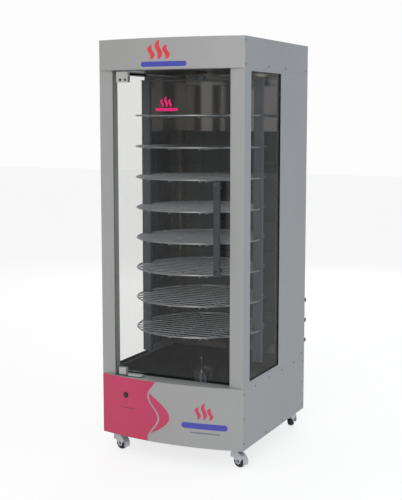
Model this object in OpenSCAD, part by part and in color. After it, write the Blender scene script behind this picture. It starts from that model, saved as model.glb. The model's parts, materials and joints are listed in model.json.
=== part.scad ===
// Vertical gas rotisserie oven: a tall glazed cabinet on casters with a turning
// tower of round wire shelves, a frameless glass door and three upright burners.
// Origin: on the floor, under the middle of the cabinet. +Z is up, the door faces -Y.

/* [Cabinet] */
// Width of the cabinet
body_w = 640; // [600:5:720]
// Depth from the front corners to the back
body_d = 692; // [680:2:760]
// Height of the cabinet above its casters
body_h = 1620; // [1560:10:1700]
// How far the middle of the front bulges past its corners
bow = 44; // [30:2:60]
// Height of the base
base_h = 252; // [240:2:280]
// Height of the header
header_h = 120; // [110:5:150]
// Width of a front pillar
pillar_w = 60; // [50:1:70]
// Thickness of the outer sheet
sheet = 1.5; // [1:0.1:2]

/* [Side windows] */
// Distance of a window from the front corners
window_front = 61; // [50:1:80]
// Length of a window, front to back
window_l = 315; // [280:5:340]
// Height of the strip below a window
window_sill = 18; // [14:1:30]
// Height of the strip above a window
window_head = 10; // [8:1:20]
// Thickness of the window glass
window_t = 4; // [3:0.5:5]

/* [Door] */
// Thickness of the door glass
glass_t = 6; // [5:1:8]
// Length of the door handle
handle_l = 370; // [300:10:450]
// Height of the middle of the handle above the floor
handle_z = 961; // [900:1:1000]
// Distance of the handle from the middle of the door
handle_x = 217; // [190:1:225]

/* [Shelves] */
// Diameter of a shelf
shelf_d = 550; // [500:5:552]
// Height of one shelf above the one below
shelf_step = 127; // [110:1:128]
// Height of the lowest shelf above the floor
shelf_z = 512; // [490:1:520]
// Thickness of a shelf's rim rod
rim_d = 7; // [6:0.5:8]
// Thickness of a shelf wire
wire_d = 5; // [4:0.5:6]
// Spacing of the shelf wires
wire_pitch = 39; // [30:1:45]
// Distance of the tower's axis in front of the middle of the cabinet
axis_front = 60; // [56:1:64]

/* [Gas] */
// Height of the top knob above the floor
knob_z = 573; // [560:1:600]
// Spacing of the knobs
knob_pitch = 92; // [80:1:95]
// Diameter of a knob
knob_d = 17; // [14:1:22]
// Outside diameter of the gas hose nipple
nipple_d = 10; // [8:0.5:12]

/* [Casters] */
// Height of a caster
caster_h = 80; // [76:1:90]
// Diameter of a caster wheel
wheel_d = 54; // [50:1:56]
// Width of a caster wheel
wheel_w = 22; // [18:1:24]
// Distance of the wheel's axle from the swivel's axis
trail = 18; // [14:1:20]

/* [Hidden] */
$fn = 48;

gap = 0.3;                 // air between neighbouring sheets
fit = 0.05;                // radial clearance of a running fit
steel = "lightslategray";
dark = "dimgray";

// Outline of the cabinet
half_w = body_w / 2;
front_y = -body_d / 2;
back_y = body_d / 2;
bottom_z = caster_h;
top_z = bottom_z + body_h;
base_top = bottom_z + base_h;
header_z = top_z - header_h;
inner_w = half_w - sheet - gap;
wrap = 14;                 // side flange of a bowed front panel
ledge_y = front_y + 40;    // back edge of the ledges above and below the door

// The bowed front is part of a big circle
bow_r = (half_w * half_w + bow * bow) / (2 * bow);
bow_y = front_y - bow + bow_r;

// Windows
win_y0 = front_y + window_front;
win_y1 = win_y0 + window_l;
win_z0 = base_top + window_sill;
win_z1 = header_z - window_head;
pane_lap = 12;             // how far a pane reaches behind the panel
gasket_lip = 2;            // how far the gasket shows inside the cut-out
gasket_t = 1.6;
pane_x1 = inner_w - gasket_t - gap;
pane_x0 = pane_x1 - window_t;

// Oven cavity
floor_z = base_top - 52;
liner_t = 1.2;
liner_x = pane_x0 - 2;     // inside of the cavity's side walls, half width
liner_z0 = base_top + 37;
liner_z1 = header_z - 13;
liner_y0 = win_y1 - 16;    // front edge of a side lining, behind the pane
chamfer_y = 205;
chamfer_x = 250;
rear_y = 296;              // front face of the inner back wall
burner_z0 = liner_z0 + 11;
burner_z1 = base_top + 999;
burner_t = 26;
tile_groove = 3;

// Tower
axis_y = -axis_front;
shelf_r = shelf_d / 2;
rim_r = shelf_r - rim_d / 2;
upright_x0 = 241;          // inner face of an upright, from the tower's axis
upright_x1 = 279;
upright_t = 20;            // front to back
upright_wall = 2;
upright_z0 = base_top + 45;
head_z = header_z - 34;    // top of the uprights
bracket_l = 18;            // tab that carries a shelf
shaft_r = 8;
arm_w = 30;
arm_t = 4;
pin_top = floor_z + 91;    // top of the pin's ball
ball_r = 5.5;

// Door
door_x = half_w - pillar_w - 4;
door_y = front_y - 1;      // middle of the glass
door_z0 = base_top + 22;
door_z1 = header_z - 22;
pivot_x = -226;
pivot_r = 5;
clamp_x0 = -236;
clamp_t = 7;               // cheek of a clamp
top_clamp = [52, 42];      // width and height
low_clamp = [32, 28];
clamp_gap = 6;             // air between a clamp and the ledge
pivot_plate_t = 4;
handle_w = 26;
handle_t = 14;
post_l = 18;
post_d = 12;
post_inset = 23;
screw_head_r = 5;
screw_head_h = 2.4;

// Gas train
knob_x = 308;
knob_end = back_y + 42;
valve_w = 20;
valve_y = back_y - 34;
stem_r = 3;
manifold_x = 262;
manifold_y = 318;
manifold_r = 6;
pipe_r = 5;
pipe_x = 303;              // tubes to the side burners
pipe_y = 334;              // tubes that run across behind the cavity
rear_pipe_x = 200;
inlet_z = 150;
inlet_r = 8;
inlet_end = back_y + 12;
nipple_end = front_y * -1 + bow; // as far behind the middle as the bow is in front

// Start button, square to the bowed front
button_x = -196;
button_z = 257;
button_a = asin(button_x / bow_r);
button_y = bow_y - bow_r * cos(button_a);
button_r = 8;

// Casters: name, side, end, heading of the wheel
caster_x = 272;
caster_y = 300;
kingpin_r = 4;
axle_r = 3;
fork_t = 2.5;
fork_in = wheel_w / 2 + 1.5;
hood_r = wheel_d / 2 + 1.5;
hood_low = 13;             // lower edge of the hood, behind the wheel
axle_z = wheel_d / 2;
pedal_x = -13;
pedal_z = 52;
pedal_pin_r = 1.5;

// Side screws: y along the side, z above the floor
screw_r = 3.5;
flange_mid = front_y + wrap / 2;
side_screws = concat(
  [for (h = [30, 130, 230]) [flange_mid, bottom_z + h]],
  [for (h = [13, 104]) [flange_mid, header_z + h]],
  [for (y = [-223, -75, 71, 214]) [y, base_top - 13]],
  [for (h = [23, 127, 224]) [back_y - 21, bottom_z + h]],
  [for (y = [-104, 84]) [y, bottom_z + 12]],
  [for (y = [-108, 79, 322]) [y, header_z + 13]],
  [[back_y - 36, base_top + 10]]);
// Back screws: x across the back, z above the floor
back_screws = concat(
  [for (x = [-290, 0, 290]) [x, bottom_z + 12]],
  [for (x = [-290, 0, 290]) [x, top_z - 12]],
  [for (z = [700, 1200]) [-308, z]],
  [for (z = [700, 1200]) [308, z]]);

// ---------- Shapes that repeat ----------

module box(x0, x1, y0, y1, z0, z1) {
  translate([x0, y0, z0]) cube([x1 - x0, y1 - y0, z1 - z0]);
}

module both_sides() {
  children();
  mirror([1, 0, 0]) children();
}

module rod_x(x0, x1, y, z, r) {
  translate([x0, y, z]) rotate([0, 90, 0]) cylinder(h = x1 - x0, r = r);
}

module rod_y(x, y0, y1, z, r) {
  translate([x, y0, z]) rotate([-90, 0, 0]) cylinder(h = y1 - y0, r = r);
}

module rod_z(x, y, z0, z1, r) {
  translate([x, y, z0]) cylinder(h = z1 - z0, r = r);
}

// A slab with the bowed front, cut straight at the sides and at the back
module bowed_slab(inset, half, y_back, z0, z1) {
  intersection() {
    translate([0, bow_y, z0]) cylinder(h = z1 - z0, r = bow_r - inset, $fn = 360);
    box(-half, half, front_y - bow - 10, y_back, z0, z1);
  }
}

// The bowed sheet itself
module bowed_sheet(z0, z1) {
  difference() {
    bowed_slab(0, half_w, front_y + 5, z0, z1);
    translate([0, bow_y, z0 - 1])
      cylinder(h = z1 - z0 + 2, r = bow_r - sheet, $fn = 360);
  }
}

// Bowed front panel with side flanges, and a ledge that faces the door
module bowed_front(z0, z1, ledge_z) {
  union() {
    bowed_sheet(z0, z1);
    both_sides() box(half_w - sheet, half_w, front_y + 0.5, front_y + wrap, z0, z1);
    bowed_slab(sheet / 2, inner_w, ledge_y, ledge_z, ledge_z + sheet);
  }
}

module side_screw_holes() {
  for (p = side_screws) rod_x(half_w - sheet - 5, half_w + 5, p[0], p[1], 2);
}

// ---------- Cabinet ----------

module base_pan() {
  color(dark) difference() {
    bowed_slab(sheet + gap, inner_w, back_y - sheet - gap, bottom_z, bottom_z + 2);
    for (sx = [-1, 1], sy = [-1, 1], bx = [-1, 1], by = [-1, 1])
      rod_z(sx * caster_x + bx * 24, sy * caster_y + by * 20, bottom_z - 1, bottom_z + 3, 3.2);
  }
}

module base_front() {
  color(steel) difference() {
    bowed_front(bottom_z, base_top, base_top - sheet);
    both_sides() side_screw_holes();
    translate([button_x, button_y, button_z]) rotate([90, 0, button_a])
      cylinder(h = 20, r = button_r + 2.2, center = true);
  }
}

module base_side() {
  difference() {
    box(half_w - sheet, half_w, front_y + wrap + gap, back_y - sheet - gap, bottom_z, base_top);
    side_screw_holes();
  }
}

module base_sides() {
  color(steel) both_sides() base_side();
}

module side_panel() {
  difference() {
    box(half_w - sheet, half_w, front_y + sheet + gap, back_y - sheet - gap,
        base_top + gap, header_z - gap);
    box(half_w - 10, half_w + 10, win_y0, win_y1, win_z0, win_z1);
    side_screw_holes();
  }
}

module side_panel_right() {
  color(steel) side_panel();
}

module side_panel_left() {
  color(steel) mirror([1, 0, 0]) side_panel();
}

// A folded channel: face, inner return beside the door, outer return behind the side
module pillar() {
  union() {
    box(half_w - pillar_w, half_w, front_y, front_y + sheet, base_top + gap, header_z - gap);
    box(half_w - pillar_w, half_w - pillar_w + sheet, front_y, ledge_y,
        base_top + gap, header_z - gap);
    box(inner_w - sheet, inner_w, front_y, front_y + 28, base_top + gap, header_z - gap);
  }
}

module front_pillars() {
  color(steel) both_sides() pillar();
}

module header_front() {
  color(steel) difference() {
    bowed_front(header_z, top_z, header_z);
    both_sides() side_screw_holes();
  }
}

module roof_cover() {
  skirt_y0 = front_y + wrap + gap;
  skirt_y1 = back_y - sheet - gap;
  color(steel) difference() {
    union() {
      bowed_slab(sheet + gap, inner_w, skirt_y1, top_z - sheet, top_z);
      box(-half_w, half_w, skirt_y0, skirt_y1, top_z - sheet, top_z);
      both_sides() box(half_w - sheet, half_w, skirt_y0, skirt_y1, header_z, top_z);
    }
    both_sides() side_screw_holes();
    for (i = [-5:5]) box(i * 22 - 4, i * 22 + 4, 200, 310, top_z - 5, top_z + 5);
  }
}

module ceiling_panel() {
  color("silver") difference() {
    box(-liner_x, liner_x, ledge_y + gap, rear_y, header_z, header_z + sheet);
    rod_z(0, axis_y, header_z - 5, header_z + 5, 16);
    for (i = [-5:5]) box(i * 22 - 4, i * 22 + 4, 200, 270, header_z - 5, header_z + 5);
  }
}

module back_panel() {
  color(steel) difference() {
    box(-half_w, half_w, back_y - sheet, back_y, bottom_z, top_z);
    for (i = [0:2]) rod_y(knob_x, back_y - 5, back_y + 5, knob_z - i * knob_pitch, stem_r + 1);
    rod_y(manifold_x, back_y - 5, back_y + 5, inlet_z, inlet_r + 0.5);
    box(-264, -236, back_y - 5, back_y + 5, 140, 160);
    for (i = [0:7], z = [420, 1480])
      box(-110, 110, back_y - 5, back_y + 5, z + i * 16, z + i * 16 + 6);
    for (p = back_screws) rod_y(p[0], back_y - 5, back_y + 5, p[1], 2);
  }
}

module side_windows() {
  color("lightcyan", 0.4) both_sides()
    box(pane_x0, pane_x1, win_y0 - pane_lap, win_y1 + pane_lap,
        win_z0 - pane_lap, win_z1 + pane_lap);
}

module window_gaskets() {
  color("black") both_sides() difference() {
    box(inner_w - gasket_t, inner_w, win_y0 - pane_lap, win_y1 + pane_lap,
        win_z0 - pane_lap, win_z1 + pane_lap);
    box(inner_w - 10, inner_w + 10, win_y0 + gasket_lip, win_y1 - gasket_lip,
        win_z0 + gasket_lip, win_z1 - gasket_lip);
  }
}

// ---------- Oven cavity ----------

module inner_back_wall() {
  color("gray") difference() {
    box(-chamfer_x + gap, chamfer_x - gap, rear_y + gap, rear_y + gap + liner_t,
        floor_z + 2, header_z - gap);
    rod_y(rear_pipe_x, rear_y - 5, rear_y + 5, knob_z - knob_pitch, pipe_r + 1);
  }
}

// Bent lining of one rear corner: side wall and slanted corner
module cavity_lining() {
  t = liner_t;
  difference() {
    translate([0, 0, liner_z0]) linear_extrude(liner_z1 - liner_z0) polygon([
      [liner_x, liner_y0], [liner_x, chamfer_y], [chamfer_x, rear_y],
      [chamfer_x - t, rear_y - t], [liner_x - t, chamfer_y - t], [liner_x - t, liner_y0]]);
    for (i = [0, 2])
      rod_y(pipe_x, chamfer_y + 2, rear_y + 10, knob_z - i * knob_pitch, pipe_r + 1);
  }
}

module cavity_lining_right() {
  color("gray") cavity_lining();
}

module cavity_lining_left() {
  color("gray") mirror([1, 0, 0]) cavity_lining();
}

// Upright burner, width along Y: a case open at the back, with a face of stacked
// tiles towards -X
module upright_burner(width, depth) {
  rows = 7;
  row_h = (burner_z1 - burner_z0) / rows;
  wall = 1.5;
  face = tile_groove + wall;
  difference() {
    translate([0, -width / 2, burner_z0]) cube([depth, width, burner_z1 - burner_z0]);
    for (i = [0:rows - 1])
      translate([-1, -width / 2 + 8, burner_z0 + i * row_h + 6])
        cube([1 + tile_groove, width - 16, row_h - 12]);
    translate([face, -width / 2 + wall, burner_z0 + wall])
      cube([depth, width - 2 * wall, burner_z1 - burner_z0 - 2 * wall]);
  }
}

module burner_right() {
  color(dark) translate([liner_x - liner_t - gap - burner_t, 137, 0])
    upright_burner(130, burner_t);
}

module burner_left() {
  color(dark) mirror([1, 0, 0]) translate([liner_x - liner_t - gap - burner_t, 137, 0])
    upright_burner(130, burner_t);
}

module burner_rear() {
  color(dark) translate([0, rear_y - burner_t, 0]) rotate([0, 0, 90])
    upright_burner(472, burner_t);
}

module gas_pipework() {
  z_low = knob_z - 2 * knob_pitch;
  z_mid = knob_z - knob_pitch;
  valve_x0 = knob_x - valve_w / 2;
  color("goldenrod") union() {
    // Manifold, with a stub to each valve
    rod_z(manifold_x, manifold_y, inlet_z, knob_z + 14, manifold_r);
    for (z = [z_low, z_mid, knob_z]) rod_x(manifold_x, valve_x0, manifold_y, z, 4);
    // Inlet through the back, with its nipple
    rod_y(manifold_x, manifold_y - manifold_r, inlet_end, inlet_z, inlet_r);
    rod_y(manifold_x, inlet_end - 1, nipple_end, inlet_z, nipple_d / 2);
  }
  // Tubes from the valves to the right, rear and left burners
  color("goldenrod") {
    rod_y(pipe_x, chamfer_y - 3, valve_y, z_low, pipe_r);
    union() {
      rod_x(rear_pipe_x, valve_x0, pipe_y, z_mid, pipe_r);
      translate([rear_pipe_x, pipe_y, z_mid]) sphere(pipe_r);
      rod_y(rear_pipe_x, rear_y, pipe_y, z_mid, pipe_r);
    }
    union() {
      rod_x(-pipe_x, valve_x0, pipe_y, knob_z, pipe_r);
      translate([-pipe_x, pipe_y, knob_z]) sphere(pipe_r);
      rod_y(-pipe_x, chamfer_y - 3, pipe_y, knob_z, pipe_r);
    }
  }
}

module gas_valves() {
  half = valve_w / 2;
  color("goldenrod") for (i = [0:2]) {
    z = knob_z - i * knob_pitch;
    union() {
      box(knob_x - half, knob_x + half, valve_y, back_y - sheet - gap, z - half, z + half);
      rod_y(knob_x, back_y - 5, knob_end - 6, z, stem_r);
    }
  }
}

// Drip tray of the cavity; its front rim rests on the ledge below the door
module cavity_floor() {
  color("darkslategray") difference() {
    union() {
      box(-liner_x, liner_x, ledge_y + gap, rear_y + gap, floor_z, base_top + liner_t);
      box(-liner_x, liner_x, ledge_y - 6, ledge_y + 2, base_top, base_top + liner_t);
    }
    box(-liner_x + liner_t, liner_x - liner_t, ledge_y + gap + liner_t,
        rear_y + gap - liner_t, floor_z + liner_t, base_top + 5);
  }
}

// Centring pin with a ball on top, on a round base
module spindle_pin() {
  z0 = floor_z + liner_t;
  color("silver") translate([0, axis_y, 0]) union() {
    rod_z(0, 0, z0, z0 + 28, 33);
    rod_z(0, 0, z0, pin_top - ball_r, 4.5);
    translate([0, 0, pin_top - ball_r]) sphere(ball_r);
  }
}

module gearmotor() {
  z0 = header_z + sheet;
  color(dark) difference() {
    union() {
      box(-50, 50, axis_y - 40, axis_y + 40, z0, z0 + 60);
      rod_x(49, 150, axis_y, z0 + 32, 30);
    }
    rod_z(0, axis_y, z0 - 1, z0 + 41, shaft_r + fit);
  }
}

module drive_bush() {
  color("goldenrod") difference() {
    union() {
      rod_z(0, axis_y, header_z - 6, header_z, 24);
      rod_z(0, axis_y, header_z - 1, header_z + sheet, 15.7);
    }
    rod_z(0, axis_y, header_z - 10, header_z + 10, shaft_r + fit);
  }
}

module interior_lamp() {
  color("ivory") union() {
    rod_z(200, 120, header_z - 6, header_z, 34);
    rod_z(200, 120, header_z - 18, header_z - 5, 28);
  }
}

// ---------- Tower ----------

// Cross bar that carries both uprights, with its hub and the drive shaft
module carousel_head() {
  color("silver") translate([0, axis_y, 0]) union() {
    box(-upright_x1, upright_x1, -arm_w / 2, arm_w / 2, head_z, head_z + arm_t);
    rod_z(0, 0, head_z - 6, head_z + 20, 16);
    rod_z(0, 0, head_z - 6, header_z + 29, shaft_r);
  }
}

// Box section upright on the side of the tower, with a tab under each shelf
module upright() {
  y1 = upright_t / 2;
  union() {
    difference() {
      box(upright_x0, upright_x1, -y1, y1, upright_z0, head_z);
      box(upright_x0 + upright_wall, upright_x1 - upright_wall, -y1 + upright_wall,
          y1 - upright_wall, upright_z0 - 1, head_z - upright_wall);
    }
    for (i = [0:7])
      box(upright_x0 - bracket_l, upright_x0 + 1, -y1, y1,
          shelf_z + i * shelf_step - wire_d / 2 - 3, shelf_z + i * shelf_step - wire_d / 2);
  }
}

module carousel_uprights() {
  color("silver") translate([0, axis_y, 0]) both_sides() upright();
}

// Round wire shelf: rim, wires across and support bars below them, cut to meet
// the faces of both uprights
module shelf(i) {
  bar_z = -(wire_d + rim_d) / 2 + 0.6;
  color("silver") translate([0, axis_y, shelf_z + i * shelf_step]) difference() {
    union() {
      rotate_extrude($fn = 96) translate([rim_r, 0]) circle(rim_d / 2, $fn = 24);
      for (k = [-6:6]) {
        half = sqrt(rim_r * rim_r - k * k * wire_pitch * wire_pitch);
        rod_x(-half, half, k * wire_pitch, 0, wire_d / 2);
      }
      for (x = [-122, -14, 110, 134]) {
        half = sqrt(rim_r * rim_r - x * x);
        rod_y(x, -half, half, bar_z, rim_d / 2 - 0.5);
      }
    }
    both_sides()
      box(upright_x0, upright_x1 + 5, -upright_t / 2, upright_t / 2, -rim_d, rim_d);
  }
}

// ---------- Door ----------

module door_glass() {
  color("lightcyan", 0.35) difference() {
    box(-door_x, door_x, door_y - glass_t / 2, door_y + glass_t / 2, door_z0, door_z1);
    for (s = [-1, 1])
      rod_y(handle_x, door_y - 10, door_y + 10, handle_z + s * (handle_l / 2 - post_inset), 4);
  }
}

// Clamp on the lower corner, from its underside up; size is its width and height
module clamp(size) {
  z0 = base_top + clamp_gap;
  x1 = clamp_x0 + size[0];
  difference() {
    box(clamp_x0, x1, door_y - glass_t / 2 - clamp_t, door_y + glass_t / 2 + clamp_t,
        z0, z0 + size[1]);
    box(clamp_x0 - 1, x1 + 1, door_y - glass_t / 2, door_y + glass_t / 2,
        door_z0, z0 + size[1] + 1);
    rod_z(pivot_x, door_y, z0 - 1, door_z0 - 2, pivot_r + fit);
  }
}

// Turns a piece below the door into the same piece above the door
module above_door() {
  translate([0, 0, base_top + header_z]) mirror([0, 0, 1]) children();
}

module door_clamps() {
  color("silver") {
    clamp(low_clamp);
    above_door() clamp(top_clamp);
  }
}

// Pivot plate on the ledge below the door, with its pin
module pivot_plate() {
  union() {
    box(-door_x, -130, front_y - 14, front_y + 16, base_top, base_top + pivot_plate_t);
    rod_z(pivot_x, door_y, base_top + 1, door_z0 - 4, pivot_r);
  }
}

module door_pivots() {
  color(dark) {
    pivot_plate();
    above_door() pivot_plate();
  }
}

module handle_bar() {
  y1 = door_y - glass_t / 2 - post_l;
  color("dimgray") box(handle_x - handle_w / 2, handle_x + handle_w / 2, y1 - handle_t, y1,
                       handle_z - handle_l / 2, handle_z + handle_l / 2);
}

module handle_posts() {
  y1 = door_y - glass_t / 2;
  color("dimgray") for (s = [-1, 1]) {
    z = handle_z + s * (handle_l / 2 - post_inset);
    union() {
      rod_y(handle_x, y1 - post_l, y1, z, post_d / 2);
      rod_y(handle_x, y1 - 1, y1 + glass_t, z, 4 - gap);
      rod_y(handle_x, y1 + glass_t, y1 + glass_t + 4, z, 8);
    }
  }
}

module screw_head(x, y, z) {
  translate([x, y, z]) rotate([90, 0, 0]) cylinder(h = screw_head_h, r1 = screw_head_r, r2 = 3);
}

module door_screws() {
  bar_y = door_y - glass_t / 2 - post_l - handle_t;
  clamp_y = door_y - glass_t / 2 - clamp_t;
  color("black") {
    for (s = [-1, 1]) screw_head(handle_x, bar_y, handle_z + s * (handle_l / 2 - post_inset));
    for (x = [18, 41]) screw_head(clamp_x0 + x, clamp_y, header_z - 38);
  }
}

// ---------- Controls and services ----------

// Long round knob with a flat grip at its end
module gas_knob(i) {
  z = knob_z - i * knob_pitch;
  skirt_y = back_y + 8;
  grip_y = knob_end - 14;
  color(dark) difference() {
    union() {
      rod_y(knob_x, skirt_y, skirt_y + 4, z, knob_d / 2);
      rod_y(knob_x, skirt_y + 3, grip_y + 1, z, knob_d / 2 - 2);
      intersection() {
        rod_y(knob_x, grip_y, knob_end, z, knob_d / 2);
        box(knob_x - 4, knob_x + 4, grip_y, knob_end, z - knob_d, z + knob_d);
      }
    }
    rod_y(knob_x, back_y, knob_end - 5, z, stem_r + fit);
  }
}

// Places a piece square to the bowed front, +Z pointing outwards
module at_button() {
  translate([button_x, button_y, button_z]) rotate([90, 0, button_a]) children();
}

module button_bezel() {
  color("black") at_button() difference() {
    union() {
      translate([0, 0, 0.2]) cylinder(h = 2, r = button_r + 4);
      translate([0, 0, -18]) cylinder(h = 19, r = button_r + 2);
    }
    translate([0, 0, -14]) cylinder(h = 30, r = button_r + fit);
  }
}

module push_button() {
  color(dark) at_button() translate([0, 0, -9]) cylinder(h = 14, r = button_r);
}

module power_inlet() {
  color("black") difference() {
    union() {
      box(-263.5, -236.5, back_y - 24, back_y + 0.5, 140.5, 159.5);
      box(-272, -228, back_y, back_y + 3, 136, 164);
    }
    box(-262, -238, back_y - 16, back_y + 5, 142, 158);
  }
}

module pan_screw() {
  union() {
    cylinder(h = 1.4, r1 = screw_r, r2 = 2.2);
    translate([0, 0, -sheet]) cylinder(h = sheet + 0.5, r = 1.9);
  }
}

module panel_screws() {
  color("gray") {
    both_sides() for (p = side_screws)
      translate([half_w, p[0], p[1]]) rotate([0, 90, 0]) pan_screw();
    for (p = back_screws)
      translate([p[0], back_y, p[1]]) rotate([-90, 0, 0]) pan_screw();
  }
}

// ---------- Casters ----------

module at_caster(sx, sy) {
  translate([sx * caster_x, sy * caster_y, 0]) children();
}

// Top plate, bolts, bearing ring and kingpin
module caster_plates() {
  color("silver") for (sx = [-1, 1], sy = [-1, 1]) at_caster(sx, sy) union() {
    box(-32, 32, -27, 27, caster_h - 3, caster_h);
    rod_z(0, 0, caster_h - 8, caster_h - 2, 20);
    rod_z(0, 0, caster_h - 17, caster_h - 2, kingpin_r);
    for (bx = [-1, 1], by = [-1, 1]) {
      rod_z(bx * 24, by * 20, caster_h - 6.5, caster_h - 2, 5);
      rod_z(bx * 24, by * 20, caster_h - 1, caster_h + 5, 3);
    }
  }
}

// Fork with the wheel behind it along +X: cap, hood, two cheeks and the axle
module fork() {
  cap_z = caster_h - 8.3;
  difference() {
    union() {
      rod_z(0, 0, cap_z - 5, cap_z, 19);
      // Hood over the wheel and down behind it
      intersection() {
        difference() {
          rod_y(trail, -fork_in - fork_t, fork_in + fork_t, axle_z, hood_r + 2);
          rod_y(trail, -fork_in - fork_t - 1, fork_in + fork_t + 1, axle_z, hood_r);
        }
        union() {
          box(-30, 60, -30, 30, axle_z + 12, cap_z);
          box(trail, 60, -30, 30, hood_low, cap_z);
        }
      }
      // Cheeks
      for (s = [0, 1]) mirror([0, s, 0]) {
        rod_y(trail, fork_in, fork_in + fork_t, axle_z, 12);
        translate([0, fork_in + fork_t, 0]) rotate([90, 0, 0]) linear_extrude(fork_t)
          polygon([[pedal_x - 3, cap_z], [12, cap_z], [trail + 24, axle_z + 14],
                   [trail + 12, axle_z], [trail - 12, axle_z], [pedal_x - 3, pedal_z - 4]]);
      }
      rod_y(trail, -fork_in - fork_t - 2, fork_in + fork_t + 2, axle_z, axle_r);
      rod_y(pedal_x, -fork_in - fork_t, fork_in + fork_t, pedal_z, pedal_pin_r);
    }
    rod_z(0, 0, cap_z - 6, cap_z + 1, kingpin_r + fit);
    // Room for the kingpin's end above the wheel
    rod_z(0, 0, cap_z - 9, cap_z - 4, kingpin_r + 1);
  }
}

module wheel() {
  r = wheel_d / 2;
  translate([trail, 0, axle_z]) rotate([90, 0, 0]) rotate_extrude($fn = 96) polygon([
    [axle_r + fit, -wheel_w / 2], [11, -wheel_w / 2], [11, -wheel_w / 2 + 3],
    [20, -wheel_w / 2 + 3], [21, -wheel_w / 2 + 1], [r - 4, -wheel_w / 2 + 1],
    [r - 1, -wheel_w / 2 + 3.5], [r, 0],
    [r - 1, wheel_w / 2 - 3.5], [r - 4, wheel_w / 2 - 1], [21, wheel_w / 2 - 1],
    [20, wheel_w / 2 - 3], [11, wheel_w / 2 - 3], [11, wheel_w / 2],
    [axle_r + fit, wheel_w / 2]]);
}

// Heading of a caster's wheel, seen from above
function heading(sy) = sy < 0 ? -15 : 90;

module caster_fork(sx, sy) {
  color("silver") at_caster(sx, sy) rotate([0, 0, heading(sy)]) fork();
}

module caster_wheel(sx, sy) {
  color("black") at_caster(sx, sy) rotate([0, 0, heading(sy)]) wheel();
}

// Brake pedal on the side of the fork away from the wheel
module brake_pedal(sx, sy) {
  color("silver") at_caster(sx, sy) rotate([0, 0, heading(sy)]) difference() {
    union() {
      rod_y(pedal_x, -10, 10, pedal_z, 3);
      box(pedal_x - 8, pedal_x, -10, 10, pedal_z, pedal_z + 3);
      box(pedal_x - 10, pedal_x - 7, -10, 10, pedal_z - 14, pedal_z + 3);
    }
    rod_y(pedal_x, -11, 11, pedal_z, pedal_pin_r + fit);
    box(pedal_x - 11, pedal_x - 6, -5, 5, pedal_z - 10, pedal_z - 4);
  }
}

base_pan();
base_front();
base_sides();
side_panel_left();
side_panel_right();
front_pillars();
header_front();
roof_cover();
ceiling_panel();
back_panel();
side_windows();
window_gaskets();
inner_back_wall();
cavity_lining_left();
cavity_lining_right();
burner_left();
burner_rear();
burner_right();
gas_pipework();
gas_valves();
cavity_floor();
spindle_pin();
gearmotor();
drive_bush();
interior_lamp();
door_pivots();
button_bezel();
power_inlet();
panel_screws();
caster_plates();
door_glass();
door_clamps();
handle_bar();
handle_posts();
door_screws();
carousel_head();
carousel_uprights();
shelf(0);  // shelf_1
shelf(1);  // shelf_2
shelf(2);  // shelf_3
shelf(3);  // shelf_4
shelf(4);  // shelf_5
shelf(5);  // shelf_6
shelf(6);  // shelf_7
shelf(7);  // shelf_8
gas_knob(0);  // gas_knob_1
gas_knob(1);  // gas_knob_2
gas_knob(2);  // gas_knob_3
push_button();
caster_fork(-1, -1);  // caster_fork_fl
caster_fork(1, -1);  // caster_fork_fr
caster_fork(-1, 1);  // caster_fork_rl
caster_fork(1, 1);  // caster_fork_rr
caster_wheel(-1, -1);  // caster_wheel_fl
caster_wheel(1, -1);  // caster_wheel_fr
caster_wheel(-1, 1);  // caster_wheel_rl
caster_wheel(1, 1);  // caster_wheel_rr
brake_pedal(-1, -1);  // brake_pedal_fl
brake_pedal(1, -1);  // brake_pedal_fr
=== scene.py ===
"""Looks of an upright gas rotisserie oven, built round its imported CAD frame."""
import json
import math

import bmesh
import bpy
from mathutils import Matrix, Vector

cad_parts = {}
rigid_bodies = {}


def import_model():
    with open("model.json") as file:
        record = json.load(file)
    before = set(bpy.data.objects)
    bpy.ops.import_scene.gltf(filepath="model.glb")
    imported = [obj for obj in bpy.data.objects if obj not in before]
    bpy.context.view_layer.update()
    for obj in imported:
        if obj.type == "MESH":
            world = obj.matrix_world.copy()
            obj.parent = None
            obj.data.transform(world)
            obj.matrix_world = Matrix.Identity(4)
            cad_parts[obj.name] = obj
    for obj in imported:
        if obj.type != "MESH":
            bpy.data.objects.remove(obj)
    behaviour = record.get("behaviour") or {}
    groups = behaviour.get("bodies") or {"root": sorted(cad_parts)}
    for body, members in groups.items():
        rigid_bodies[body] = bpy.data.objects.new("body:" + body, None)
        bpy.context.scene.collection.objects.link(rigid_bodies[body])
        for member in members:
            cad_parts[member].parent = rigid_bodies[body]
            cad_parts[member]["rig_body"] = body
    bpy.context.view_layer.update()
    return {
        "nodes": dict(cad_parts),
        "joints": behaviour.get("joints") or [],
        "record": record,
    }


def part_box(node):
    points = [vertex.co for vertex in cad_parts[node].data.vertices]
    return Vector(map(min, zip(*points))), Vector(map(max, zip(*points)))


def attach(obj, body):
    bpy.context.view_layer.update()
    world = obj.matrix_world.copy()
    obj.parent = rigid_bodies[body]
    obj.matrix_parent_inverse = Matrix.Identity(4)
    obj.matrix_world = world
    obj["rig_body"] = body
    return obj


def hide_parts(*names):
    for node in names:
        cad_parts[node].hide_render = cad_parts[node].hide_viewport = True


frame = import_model()

MM = 0.001
LIFT = 0.12 * MM           # how far a printed film stands proud of its surface
SECOND_LIFT = 0.22 * MM    # the same for a film on a film
FILM_T = 0.1 * MM
scene = bpy.context.scene


# ---------------------------------------------------------------- places, from the frame

def low(node):
    return Vector(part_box(node)[0])


def high(node):
    return Vector(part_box(node)[1])


def middle(node):
    return (low(node) + high(node)) / 2


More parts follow.
